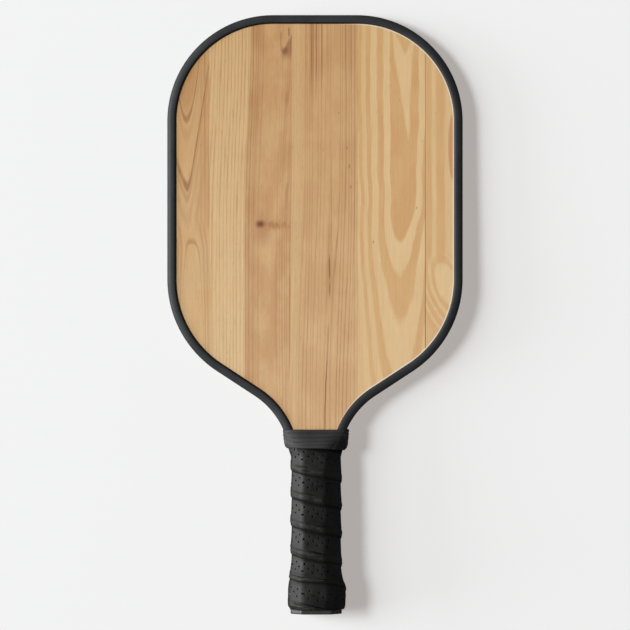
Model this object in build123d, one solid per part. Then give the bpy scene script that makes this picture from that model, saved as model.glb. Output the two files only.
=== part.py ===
from build123d import *

import math
import os

# Pickleball paddle, lying face up, in millimetres.
# +Z is the front face's normal, +Y runs from the butt to the tip, and Z = 0 is the panel's mid-plane.
# The origin is the centre of the butt cap's end face.

# ---- Driving dimensions -------------------------------------------------------------------------

# Blade outline, measured over the edge guard.
LENGTH = 400.0
WIDTH = 197.5
TIP_FLAT_HALF = 27.95
SHOULDER_RADIUS = 73.5
SHOULDER_Y = 223.4
SHOULDER_TURN = 56.8
NECK_RADIUS = 54.0

# Panel: honeycomb core, two glue films and two fibreglass face sheets.
FACE_SHEET = 0.5
FILM = 0.2
CORE = 11.2
CELL = 8.0
CELL_WALL = 0.35
EDGE_CLEARANCE = 0.1
TANG_HALF = 15.0
TANG_END_Y = 3.0

# Edge guard: a U-shaped moulding with domed lips, glued to the panel's edge.
GUARD_WEB = 1.5
GUARD_BEAD = 0.3
GUARD_REACH = 6.0
GUARD_HALF_THICKNESS = 7.65
GUARD_EDGE_RADIUS = 2.9
GUARD_LIP_EDGE = 0.45
GUARD_END_Y = 116.0
BEAD_END_Y = 117.5

# Handle: two pallets that make the tang into a bevelled octagon and ramp down under the collar.
BOND = 0.15
HANDLE_HALF = 13.0
BEVEL = 6.7
RAMP_START_Y = 107.0
RAMP_NECK_Y = 115.5
RAMP_END_Y = 121.5
RAMP_NECK_HALF = 12.4
RAMP_END_Z = 7.05

# Butt cap: an octagonal cup with a rim, a flare and a thin skirt.
RIM_HALF_X = 17.1
RIM_HALF_Z = 15.1
RIM_BEVEL = 7.2
RIM_CHAMFER = 0.6
RIM_LENGTH = 2.75
GROOVE_HALF_X = 10.5
GROOVE_HALF_Z = 8.5
GROOVE_WIDTH = 1.2
GROOVE_DEPTH = 0.5
SKIRT_END_Y = 31.0
# (Y, how far the cap stands outside the bare handle)
CAP_FLARE = [
    (RIM_LENGTH, 1.7),
    (8.0, 2.2),
    (13.0, 2.55),
    (18.0, 2.5),
    (22.0, 1.6),
    (26.0, 0.8),
    (SKIRT_END_Y, 0.4),
]

# Grip: a cushion strip on double-sided tape.
TAPE = 0.15
TAPE_END_Y = 101.0
GRIP = 1.9
GRIP_LOWER_EDGE = 0.5
GRIP_END_Y = 115.4

# Collar bed: the taut surface that the collar grips, as (Y, half width, half thickness, bevel).
BED = [
    (106.0, 17.2, 14.9, 7.5),
    (112.7, 19.9, 12.6, 6.0),
    (118.0, 20.6, 10.3, 4.5),
    (123.0, 21.4, 7.85, 1.9),
]
FINISH_TAPE = 0.15
FINISH_START_Y = 113.2
FINISH_END_Y = 121.0
# Rubber collar, as (Y, half width, half thickness, bevel).
COLLAR = [
    (111.0, 20.8, 14.3, 6.9),
    (112.7, 21.2, 13.8, 6.6),
    (118.0, 22.0, 11.6, 5.0),
    (123.0, 22.2, 9.1, 2.7),
]

# Wire staples: width of the wire, length of the crown and of the legs.
WIRE = 0.8
STAPLE_CROWN = 10.0
CAP_STAPLE_LEG = 6.0
CAP_STAPLE_Y = 24.0
STRIP_STAPLE_LEG = 8.0
STRIP_STAPLE_Y = 9.0
STRIP_STAPLE_DEPTH = 0.9

# Worked-out heights.
FILM_TOP = CORE / 2 + FILM
PANEL_HALF = FILM_TOP + FACE_SHEET
BOND_TOP = PANEL_HALF + BOND
PALLET_HALF = TANG_HALF - BOND
PANEL_INSET = GUARD_WEB + GUARD_BEAD
OVERSHOOT = 5.0


# ---- Outline of the blade -----------------------------------------------------------------------


def polar(radius, degrees):
    """A vector of this length at this angle from +X, in the XY plane."""
    angle = math.radians(degrees)
    return Vector(radius * math.cos(angle), radius * math.sin(angle))


def half_outline(inset, end_y):
    """The blade's right half as tangent lines and arcs, this far inside the guard's outer edge."""
    tip_radius = WIDTH / 2 - TIP_FLAT_HALF
    tip_centre = Vector(TIP_FLAT_HALF, LENGTH - tip_radius)
    tip_r = tip_radius - inset
    shoulder_centre = Vector(WIDTH / 2 - SHOULDER_RADIUS, SHOULDER_Y)
    shoulder_r = SHOULDER_RADIUS - inset

    # The neck arc is tangent to the flank and to the tang's side.
    normal = polar(1.0, -SHOULDER_TURN)
    flank_offset = shoulder_centre.dot(normal) + SHOULDER_RADIUS - PANEL_INSET
    neck_x = TANG_HALF + NECK_RADIUS
    neck_y = (flank_offset + NECK_RADIUS - normal.X * neck_x) / normal.Y
    neck_centre = Vector(neck_x, neck_y)
    neck_r = NECK_RADIUS - PANEL_INSET + inset
    rise = math.degrees(math.asin(max(0.0, end_y - neck_y) / neck_r))
    start_angle = 180 - SHOULDER_TURN
    end_angle = 180 - rise

    tip_start = tip_centre + Vector(0, tip_r)
    tip_end = tip_centre + Vector(tip_r, 0)
    shoulder_start = shoulder_centre + Vector(shoulder_r, 0)
    shoulder_middle = shoulder_centre + polar(shoulder_r, -SHOULDER_TURN / 2)
    shoulder_end = shoulder_centre + normal * shoulder_r
    neck_start = neck_centre + polar(neck_r, start_angle)
    neck_middle = neck_centre + polar(neck_r, (start_angle + end_angle) / 2)
    neck_end = neck_centre + polar(neck_r, end_angle)
    return [
        Line(Vector(0, tip_start.Y), tip_start),
        ThreePointArc(tip_start, tip_centre + polar(tip_r, 45), tip_end),
        Line(tip_end, shoulder_start),
        ThreePointArc(shoulder_start, shoulder_middle, shoulder_end),
        Line(shoulder_end, neck_start),
        ThreePointArc(neck_start, neck_middle, neck_end),
    ]


def panel_outline():
    """Closed wire of the blade with its tang."""
    right = half_outline(PANEL_INSET, 0.0)
    corner = Vector(TANG_HALF, TANG_END_Y)
    right.append(Line(right[-1] @ 1, corner))
    left = [edge.mirror(Plane.YZ) for edge in right]
    return Wire(right + left + [Line(corner, Vector(-corner.X, corner.Y))])


def layer(face, low, high):
    """A flat sheet of this face between two heights."""
    return extrude(Pos(0, 0, low) * face, high - low, dir=(0, 0, 1))


def with_mirror(half):
    """A right half fused with its mirror image."""
    return half + half.mirror(Plane.YZ)


# ---- Honeycomb core -----------------------------------------------------------------------------


def hexagon(centre, flat_half):
    """Corners of a cell whose flats face +X and -X."""
    corner = flat_half / math.cos(math.radians(30))
    return [centre + polar(corner, 30 + 60 * k) for k in range(6)]


def honeycomb(outline):
    """The core's web: whole cells are holes in it, and cells that cross its edge are cut open."""
    panel = Face(outline)
    box = panel.bounding_box()
    row_step = CELL * math.cos(math.radians(30))
    open_half = (CELL - CELL_WALL) / 2
    reach = open_half / math.cos(math.radians(30)) + EDGE_CLEARANCE
    columns = math.ceil(box.size.X / 2 / CELL) + 1
    whole = []
    crossing = []
    for row in range(math.ceil(box.size.Y / row_step) + 1):
        shift = CELL / 2 if row % 2 else 0.0
        for column in range(-columns, columns + 1):
            centre = Vector(column * CELL + shift, box.min.Y + row * row_step)
            cell = Wire(Polyline(*hexagon(centre, open_half), close=True))
            if outline.distance_to(centre) < reach:
                crossing.append(Face(cell))
            elif panel.is_inside(centre):
                whole.append(cell)
    web = max((panel - crossing).faces(), key=lambda face: face.area)
    return Face(web.outer_wire(), whole + list(web.inner_wires()))


# ---- Edge guard ---------------------------------------------------------------------------------


def guard_section():
    """The guard's U section in the YZ plane at the tip, where inward is -Y."""
    web_y = LENGTH - GUARD_WEB
    lip_y = LENGTH - GUARD_REACH
    crown_y = LENGTH - GUARD_EDGE_RADIUS
    edge_z = GUARD_HALF_THICKNESS - GUARD_EDGE_RADIUS
    lip_z = PANEL_HALF + GUARD_LIP_EDGE
    edge = Vector(0, LENGTH, edge_z)
    crown = Vector(0, crown_y, GUARD_HALF_THICKNESS)
    lip = Vector(0, lip_y, lip_z)
    lip_foot = Vector(0, lip_y, PANEL_HALF)
    web_top = Vector(0, web_y, PANEL_HALF)
    upper = [
        TangentArc(edge, crown, tangent=(0, 0, 1)),
        TangentArc(crown, lip, tangent=(0, -1, 0)),
        Line(lip, lip_foot),
        Line(lip_foot, web_top),
    ]
    lower = [piece.mirror(Plane.XY) for piece in upper]
    outer_side = Line(edge, Vector(0, LENGTH, -edge_z))
    web_side = Line(web_top, Vector(0, web_y, -PANEL_HALF))
    return Face(Wire(upper + lower + [outer_side, web_side]))


def edge_guard():
    """The moulding, swept along the outline as two halves that meet at the tip."""
    path = Wire(half_outline(0.0, GUARD_END_Y))
    return with_mirror(sweep(guard_section(), path=path))


def guard_bead():
    """Glue between the guard's web and the panel's edge."""
    outer = half_outline(GUARD_WEB, BEAD_END_Y)
    inner = half_outline(PANEL_INSET, BEAD_END_Y)
    tip_side = Line(outer[0] @ 0, inner[0] @ 0)
    end_side = Line(outer[-1] @ 1, inner[-1] @ 1)
    face = Face(Wire(outer + inner + [tip_side, end_side]))
    return with_mirror(layer(face, -PANEL_HALF, PANEL_HALF))


# ---- Handle, cap, grip and collar ---------------------------------------------------------------


def octagon(y, half_x, half_z, bevel):
    """A bevelled section across the handle at this Y."""
    corners = [
        Vector(half_x, y, half_z - bevel),
        Vector(half_x - bevel, y, half_z),
        Vector(bevel - half_x, y, half_z),
        Vector(-half_x, y, half_z - bevel),
        Vector(-half_x, y, bevel - half_z),
        Vector(bevel - half_x, y, -half_z),
        Vector(half_x - bevel, y, -half_z),
        Vector(half_x, y, bevel - half_z),
    ]
    return Face(Wire(Polyline(*corners, close=True)))


def through(sections):
    """A solid with flat or ruled sides through these sections."""
    return loft(sections, ruled=True)


def grown_handle(y, growth):
    """The bare handle's section at this Y, grown outwards by this much on all eight sides."""
    bevel = BEVEL + growth * (2 - math.sqrt(2))
    return octagon(y, TANG_HALF + growth, HANDLE_HALF + growth, bevel)


def grown_bed(stations, growth):
    """The collar bed or the collar, grown by this much."""
    return [octagon(y, x + growth, z + growth, bevel) for y, x, z, bevel in stations]


def slab_between(low_y, high_y):
    """A block that keeps what lies between two heights along the handle."""
    span = high_y - low_y
    return Pos(0, (low_y + high_y) / 2, 0) * Box(WIDTH, span, WIDTH)


def pallet():
    """Front half-handle: full section up to the ramp, then lower and narrower to its end."""

    def section(y, half, top):
        shoulder = half - (top - BOND_TOP)
        corners = [
            Vector(-half, y, BOND_TOP),
            Vector(-shoulder, y, top),
            Vector(shoulder, y, top),
            Vector(half, y, BOND_TOP),
        ]
        return Face(Wire(Polyline(*corners, close=True)))

    fall = (HANDLE_HALF - RAMP_END_Z) / (RAMP_END_Y - RAMP_START_Y)
    neck_z = HANDLE_HALF - fall * (RAMP_NECK_Y - RAMP_START_Y)
    sections = [
        section(TANG_END_Y, PALLET_HALF, HANDLE_HALF),
        section(RAMP_START_Y, PALLET_HALF, HANDLE_HALF),
        section(RAMP_NECK_Y, RAMP_NECK_HALF, neck_z),
        section(RAMP_END_Y, RAMP_NECK_HALF, RAMP_END_Z),
    ]
    return through(sections)


def pallet_bond():
    """Glue layer under the front pallet, with the pallet's own footprint."""
    corners = [
        Vector(PALLET_HALF, TANG_END_Y),
        Vector(PALLET_HALF, RAMP_START_Y),
        Vector(RAMP_NECK_HALF, RAMP_NECK_Y),
        Vector(RAMP_NECK_HALF, RAMP_END_Y),
    ]
    mirrored = [Vector(-c.X, c.Y) for c in reversed(corners)]
    return layer(Face(Wire(Polyline(*corners, *mirrored, close=True))), PANEL_HALF, BOND_TOP)


def bare_handle():
    """The octagonal block that the tang and the pallets make together."""
    return through([grown_handle(TANG_END_Y, 0.0), grown_handle(RAMP_START_Y, 0.0)])


def butt_cap():
    """Octagonal cup with a grooved end face."""
    small_x = RIM_HALF_X - RIM_CHAMFER
    small_z = RIM_HALF_Z - RIM_CHAMFER
    rim = through(
        [
            octagon(0.0, small_x, small_z, RIM_BEVEL),
            octagon(RIM_CHAMFER, RIM_HALF_X, RIM_HALF_Z, RIM_BEVEL),
            octagon(RIM_LENGTH, RIM_HALF_X, RIM_HALF_Z, RIM_BEVEL),
        ]
    )
    skirt = through([grown_handle(y, growth) for y, growth in CAP_FLARE])
    groove_bevel = RIM_BEVEL / 2

    def groove_core(step):
        sizes = (GROOVE_HALF_X + step, GROOVE_HALF_Z + step, groove_bevel + step / 2)
        return through([octagon(0.0, *sizes), octagon(GROOVE_DEPTH, *sizes)])

    groove = groove_core(GROOVE_WIDTH) - groove_core(0.0)
    return rim + skirt - bare_handle() - groove


def staple(y, crown_top, leg):
    """A wire staple in the front side: a crown along X and two legs that point to -Z."""
    crown = Pos(0, y, crown_top - WIRE / 2) * Box(STAPLE_CROWN, WIRE, WIRE)
    leg_x = (STAPLE_CROWN - WIRE) / 2
    one_leg = Pos(leg_x, y, crown_top - leg / 2) * Box(WIRE, WIRE, leg)
    return crown + one_leg + one_leg.mirror(Plane.YZ)


def flare_at(y):
    """How far the cap stands outside the bare handle at this Y."""
    for (low_y, low), (high_y, high) in zip(CAP_FLARE, CAP_FLARE[1:]):
        if low_y <= y <= high_y:
            return low + (high - low) * (y - low_y) / (high_y - low_y)
    return 0.0


def grip_sleeve():
    """The wound cushion strip as one plain sleeve, solid down to what it is wound on."""
    lower = [grown_handle(RIM_LENGTH, CAP_FLARE[0][1] + GRIP - GRIP_LOWER_EDGE)]
    lower += [grown_handle(y, growth + GRIP) for y, growth in CAP_FLARE[1:-1]]
    lower += [grown_handle(SKIRT_END_Y + OVERSHOOT, GRIP)]
    lower += [grown_handle(TAPE_END_Y, GRIP)]
    upper = grown_bed(BED, -FINISH_TAPE)
    return through(lower + upper) & slab_between(RIM_LENGTH, GRIP_END_Y)


# ---- The pieces ---------------------------------------------------------------------------------


def panel_pieces():
    """Core, glue films and face sheets."""
    outline = panel_outline()
    sheet = Face(outline)
    return {
        "honeycomb_core": layer(honeycomb(outline), -CORE / 2, CORE / 2),
        "front_adhesive_film": layer(sheet, CORE / 2, FILM_TOP),
        "rear_adhesive_film": layer(sheet, -FILM_TOP, -CORE / 2),
        "front_face_sheet": layer(sheet, FILM_TOP, PANEL_HALF),
        "rear_face_sheet": layer(sheet, -PANEL_HALF, -FILM_TOP),
    }


def handle_pieces():
    """Pallets, glue, cap, staples, tapes, grip and collar."""
    cap_staple = staple(CAP_STAPLE_Y, HANDLE_HALF + flare_at(CAP_STAPLE_Y), CAP_STAPLE_LEG)
    cap_staples = [cap_staple, cap_staple.mirror(Plane.XY)]
    strip_top = HANDLE_HALF + flare_at(STRIP_STAPLE_Y) + STRIP_STAPLE_DEPTH + WIRE / 2
    strip_staple = staple(STRIP_STAPLE_Y, strip_top, STRIP_STAPLE_LEG).mirror(Plane.XY)
    wires = cap_staples + [strip_staple]

    front_pallet = pallet()
    panel_block = layer(Face(panel_outline()), -PANEL_HALF, PANEL_HALF)
    front_bond = pallet_bond()
    bonds = [front_bond, front_bond.mirror(Plane.XY)]
    pallets = [front_pallet, front_pallet.mirror(Plane.XY)]
    cap = butt_cap()

    tape_ends = [grown_handle(SKIRT_END_Y, TAPE), grown_handle(TAPE_END_Y, TAPE)]
    tape = through(tape_ends) - bare_handle()
    solid_cap = cap + bare_handle()
    sleeve = grip_sleeve() - solid_cap - through(tape_ends) - panel_block - pallets - bonds

    finish_span = slab_between(FINISH_START_Y, FINISH_END_Y)
    finish_tape = (through(grown_bed(BED, 0.0)) - through(grown_bed(BED, -FINISH_TAPE))) & finish_span
    collar = through(grown_bed(COLLAR, 0.0)) - through(grown_bed(BED, 0.0))
    return {
        "handle_pallet_front": pallets[0] - wires,
        "handle_pallet_rear": pallets[1] - wires,
        "pallet_bond_front": bonds[0],
        "pallet_bond_rear": bonds[1],
        "butt_cap": cap - wires,
        "butt_cap_staples": Compound(children=cap_staples),
        "grip_adhesive_tape": tape,
        "cushion_grip": sleeve - wires,
        "grip_start_staple": strip_staple,
        "grip_finishing_tape": finish_tape,
        "grip_collar": collar,
    }


def main():
    pieces = panel_pieces()
    pieces["edge_guard"] = edge_guard()
    pieces["edge_guard_adhesive"] = guard_bead()
    pieces.update(handle_pieces())
    os.makedirs("parts", exist_ok=True)
    for name, shape in pieces.items():
        export_step(shape, f"parts/{name}.step", write_pcurves=False)


main()
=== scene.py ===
import math
from functools import reduce

import bmesh
import bpy
import numpy as np
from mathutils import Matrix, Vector, noise


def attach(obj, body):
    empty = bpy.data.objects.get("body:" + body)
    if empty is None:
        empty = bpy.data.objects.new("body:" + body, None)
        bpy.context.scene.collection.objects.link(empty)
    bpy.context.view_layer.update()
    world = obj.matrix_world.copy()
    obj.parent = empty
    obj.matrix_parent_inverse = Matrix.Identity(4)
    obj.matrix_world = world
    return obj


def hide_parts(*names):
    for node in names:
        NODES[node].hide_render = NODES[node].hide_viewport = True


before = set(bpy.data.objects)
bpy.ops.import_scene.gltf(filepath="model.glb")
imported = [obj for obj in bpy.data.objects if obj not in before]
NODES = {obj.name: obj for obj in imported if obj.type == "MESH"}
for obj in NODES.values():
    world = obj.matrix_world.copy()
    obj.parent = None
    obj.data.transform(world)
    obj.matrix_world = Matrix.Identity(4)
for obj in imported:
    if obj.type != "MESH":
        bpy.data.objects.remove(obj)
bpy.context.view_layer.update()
MM = 0.001
SCENE = bpy.context.scene

# ---- Sizes, in millimetres, as in the CAD model ----

LENGTH = 400.0
HALF_WIDTH = 98.75
TIP_FLAT_HALF = 27.95
SHOULDER_RADIUS = 73.5
SHOULDER_Y = 223.4
SHOULDER_TURN = 56.8
NECK_RADIUS = 54.0
TANG_HALF = 15.0
PANEL_INSET = 1.8
PANEL_HALF = 6.3
GUARD_END_Y = 116.0
GUARD_WEB = 1.5
GUARD_REACH = 6.0
GUARD_HALF = 7.65

HANDLE = (15.0, 13.0, 6.7)
NECK_BED = (18.0, 10.7, 4.9)
NECK_LOW_Y = 106.0
NECK_HIGH_Y = 112.7
CAP_FLARE = [(2.75, 1.7), (8.0, 2.2), (13.0, 2.55), (18.0, 2.5), (22.0, 1.6), (26.0, 0.8), (31.0, 0.4)]
RIM = (17.1, 15.1, 7.2)
RIM_LENGTH = 2.75
CAP_FLOOR = 3.0
CAP_TOP = 31.0
# How far the handle's outer pieces stand to the right of the blade's axis.
HANDLE_SHIFT = 0.8
COLLAR_SHIFT = 0.65


# ---- Small helpers ----


def srgb(r, g, b):
    """A linear colour from 8-bit display values."""
    def one(c):
        c = c / 255
        return c / 12.92 if c <= 0.04045 else ((c + 0.055) / 1.055) ** 2.4
    return (one(r), one(g), one(b), 1.0)


PRINT_GAIN = 1.015
PRINT_LIFT = 0.003


def ink(r, g, b):
    """The print's own colour, given the 8-bit colour it should show on the lit face."""
    return tuple(c * PRINT_GAIN + PRINT_LIFT for c in srgb(r, g, b)[:3]) + (1.0,)


def grid_object(name, points, faces):
    """A mesh object from points in millimetres."""
    mesh = bpy.data.meshes.new(name)
    mesh.from_pydata([tuple(c * MM for c in p) for p in points], [], faces)
    mesh.validate()
    bm = bmesh.new()
    bm.from_mesh(mesh)
    bmesh.ops.recalc_face_normals(bm, faces=bm.faces)
    bm.to_mesh(mesh)
    bm.free()
    mesh.polygons.foreach_set("use_smooth", [True] * len(mesh.polygons))
    obj = bpy.data.objects.new(name, mesh)
    SCENE.collection.objects.link(obj)
    return obj


def paint(obj, name, values):
    """Stores one number per vertex for the materials."""
    layer = obj.data.attributes.new(name, "FLOAT", "POINT")
    layer.data.foreach_set("value", [float(v) for v in values])


def tube_faces(rows, columns, close_rows=False):
    """Quads over a lattice of rows x columns points, stored row by row, closed round each row."""
    faces = []
    for i in range(rows if close_rows else rows - 1):
        for j in range(columns):
            a = i * columns + j
            b = i * columns + (j + 1) % columns
            c = ((i + 1) % rows) * columns + (j + 1) % columns
            d = ((i + 1) % rows) * columns + j
            faces.append((a, b, c, d))
    return faces


def smoothstep(low, high, x):
    t = np.clip((x - low) / (high - low), 0, 1)
    return t * t * (3 - 2 * t)


def ring(sizes, radius, samples=1600):
    """A bevelled section with rounded corners, from the front's middle towards +X.

    Gives fractions of its length, and the points and normals there.
    """
    half_x, half_z, bevel = sizes
    corners = [
        (half_x - bevel, half_z), (half_x, half_z - bevel),
        (half_x, bevel - half_z), (half_x - bevel, -half_z),
        (bevel - half_x, -half_z), (-half_x, bevel - half_z),
        (-half_x, half_z - bevel), (bevel - half_x, half_z),
    ]
    outline = [(0.0, half_z)]
    normals = [(0.0, 1.0)]
    for k, corner in enumerate(corners):
        p = np.array(corner)
        before = np.array(corners[k - 1])
        after = np.array(corners[(k + 1) % 8])
        a = (before - p) / np.linalg.norm(before - p)
        b = (after - p) / np.linalg.norm(after - p)
        half_angle = math.acos(np.clip(a.dot(b), -1, 1)) / 2
        centre = p + (a + b) / np.linalg.norm(a + b) * (radius / math.sin(half_angle))
        start = math.atan2(*(p + a * radius / math.tan(half_angle) - centre)[::-1])
        end = math.atan2(*(p + b * radius / math.tan(half_angle) - centre)[::-1])
        turn = (end - start + math.pi) % (2 * math.pi) - math.pi
        for step in np.linspace(0, 1, 13):
            angle = start + turn * step
            outline.append(tuple(centre + radius * np.array((math.cos(angle), math.sin(angle)))))
            normals.append((math.cos(angle), math.sin(angle)))
    outline.append((0.0, half_z))
    normals.append((0.0, 1.0))
    outline, normals = np.array(outline), np.array(normals)
    along = np.concatenate([[0], np.cumsum(np.linalg.norm(np.diff(outline, axis=0), axis=1))])
    fraction = np.linspace(0, 1, samples)
    at = [np.interp(fraction * along[-1], along, column) for column in (*outline.T, *normals.T)]
    return fraction, np.array(at)


def on_ring(a_ring, where):
    """x, z and the outward normal at these fractions of the section."""
    fraction, columns = a_ring
    return [np.interp(np.mod(where, 1.0), fraction, column) for column in columns]


# ---- Node graphs ----


def operation(kind):
    """A method that makes a math node from one or two values."""
    return lambda value, other=None: value.graph.math(kind, value, other)


class Value:
    """A socket that takes part in arithmetic."""

    def __init__(self, graph, socket):
        self.graph = graph
        self.socket = socket

    def __rsub__(self, other):
        return self.graph.math("SUBTRACT", other, self)

    __add__ = operation("ADD")
    __sub__ = operation("SUBTRACT")
    __mul__ = operation("MULTIPLY")
    __truediv__ = operation("DIVIDE")
    __pow__ = operation("POWER")
    abs = operation("ABSOLUTE")
    sqrt = operation("SQRT")
    fract = operation("FRACT")
    least = operation("MINIMUM")
    most = operation("MAXIMUM")


class Graph:
    """A material's nodes, made by calls."""

    def __init__(self, name):
        self.material = bpy.data.materials.new(name)
        self.material.use_nodes = True
        self.nodes = self.material.node_tree.nodes
        self.links = self.material.node_tree.links
        self.nodes.clear()
        out = self.node("OutputMaterial")
        self.shader = self.node("BsdfPrincipled")
        self.links.new(self.shader.outputs[0], out.inputs[0])
        coordinate = self.node("TexCoord")
        scale = self.node("VectorMath")
        scale.operation = "SCALE"
        scale.inputs["Scale"].default_value = 1 / MM
        self.links.new(coordinate.outputs["Object"], scale.inputs[0])
        self.place = Value(self, scale.outputs[0])
        split = self.node("SeparateXYZ")
        self.links.new(scale.outputs[0], split.inputs[0])
        self.x, self.y, self.z = (Value(self, s) for s in split.outputs)

    def node(self, kind, **fixed):
        """A new node with these fixed inputs."""
        node = self.nodes.new("ShaderNode" + kind)
        for name, value in fixed.items():
            node.inputs[name].default_value = value
        return node

    def put(self, value, socket):
        if isinstance(value, Value):
            self.links.new(value.socket, socket)
        elif value is not None:
            socket.default_value = value

    def math(self, kind, a, b=None, c=None):
        node = self.node("Math")
        node.operation = kind
        for value, socket in zip((a, b, c), node.inputs):
            self.put(value, socket)
        return Value(self, node.outputs[0])

    def attribute(self, name):
        node = self.node("Attribute")
        node.attribute_name = name
        return Value(self, node.outputs["Fac"])

    def vector(self, x, y, z=0.0):
        node = self.node("CombineXYZ")
        for value, socket in zip((x, y, z), node.inputs):
            self.put(value, socket)
        return Value(self, node.outputs[0])

    def noise(self, where, scale=1.0, detail=2.0, rough=0.5):
        node = self.node("TexNoise", Scale=scale, Detail=detail, Roughness=rough)
        self.put(where, node.inputs["Vector"])
        return Value(self, node.outputs[0])

    def cells(self, where, scale=1.0):
        node = self.node("TexVoronoi", Scale=scale)
        self.put(where, node.inputs["Vector"])
        return Value(self, node.outputs["Distance"])

    def ramp(self, where, low, high, to_low=0.0, to_high=1.0, kind="SMOOTHSTEP"):
        node = self.node("MapRange")
        node.interpolation_type = kind
        for value, socket in zip((where, low, high, to_low, to_high), node.inputs):
            self.put(value, socket)
        return Value(self, node.outputs[0])

    def levels(self, where, stops):
        """A smooth curve through (position, number) stops."""
        node = self.node("ValToRGB")
        node.color_ramp.interpolation = "EASE"
        elements = node.color_ramp.elements
        while len(elements) < len(stops):
            elements.new(0.5)
        for element, (position, number) in zip(elements, stops):
            element.position = position
            element.color = (number, number, number, 1.0)
        self.put(where, node.inputs[0])
        return Value(self, node.outputs[0])

    def mix(self, share, a, b, kind="MIX"):
        node = self.node("Mix")
        node.data_type = "RGBA"
        node.blend_type = kind
        self.put(share, node.inputs[0])
        self.put(a, node.inputs[6])
        self.put(b, node.inputs[7])
        return Value(self, node.outputs[2])

    def band(self, where, centre, half, soft):
        """1 within half of the centre, falling to 0 over soft."""
        return self.ramp((where - centre).abs(), half, half + soft, 1.0, 0.0)

    def bump(self, height, strength, distance):
        node = self.node("Bump", Strength=strength, Distance=distance * MM)
        self.put(height, node.inputs["Height"])
        self.links.new(node.outputs[0], self.shader.inputs["Normal"])

    def finish(self, colour, roughness, **fixed):
        self.put(colour, self.shader.inputs["Base Color"])
        self.put(roughness, self.shader.inputs["Roughness"])
        for name, value in fixed.items():
            self.shader.inputs[name.replace("_", " ")].default_value = value
        return self.material


def dress(obj, material):
    obj.data.materials.clear()
    obj.data.materials.append(material)


# ---- Printed wood face ----

# Fine red-brown lines at the top of the middle plank, as (x, strength).
TOP_LINES = [
    (-5.9, 0.35), (-2.5, 0.9), (-1.3, 0.7), (0.8, 0.85),
    (4.6, 0.8), (8.6, 0.35), (20.4, 0.4), (24.0, 0.45),
]
# Dark flecks of the print, as (x, y, length).
FLECKS = [
    (22.9, 298.8, 1.6), (23.9, 285.1, 1.3), (16.0, 334.5, 0.6),
    (67.8, 271.0, 0.9), (39.0, 248.3, 1.0), (21.5, 311.0, 0.9),
]


def rim_gap(g):
    """How far a point of the face lies beyond the guard's inner edge, negative inside it."""
    turn = math.radians(SHOULDER_TURN)
    nx, ny = math.cos(turn), -math.sin(turn)
    shoulder_x = HALF_WIDTH - SHOULDER_RADIUS
    tip_radius = HALF_WIDTH - TIP_FLAT_HALF
    neck_x = TANG_HALF + NECK_RADIUS
    flank = shoulder_x * nx + SHOULDER_Y * ny + SHOULDER_RADIUS
    neck_y = (flank - PANEL_INSET + NECK_RADIUS - nx * neck_x) / ny
    side = g.x.abs()

    def reach(a, b):
        return (a * a + b * b).sqrt()

    top = reach((side - TIP_FLAT_HALF).most(0.0), (g.y - (LENGTH - tip_radius)).most(0.0))
    top = top - (tip_radius - GUARD_REACH)
    low = reach((side - shoulder_x).most(0.0), (SHOULDER_Y - g.y).most(0.0))
    low = low - (SHOULDER_RADIUS - GUARD_REACH)
    plane = side * nx + g.y * ny - (flank - GUARD_REACH)
    past = g.math("GREATER_THAN", (side - shoulder_x) * ny - (g.y - SHOULDER_Y) * nx, 0.0)
    low = g.math("MULTIPLY_ADD", past, plane - low, low)
    neck = (NECK_RADIUS - PANEL_INSET + GUARD_REACH) - reach(side - neck_x, g.y - neck_y)
    curved = g.math("GREATER_THAN", (side - neck_x) * ny - (g.y - neck_y) * nx, 0.0)
    low = g.math("MULTIPLY_ADD", curved, neck - low, low)
    return top.most(low)


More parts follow.
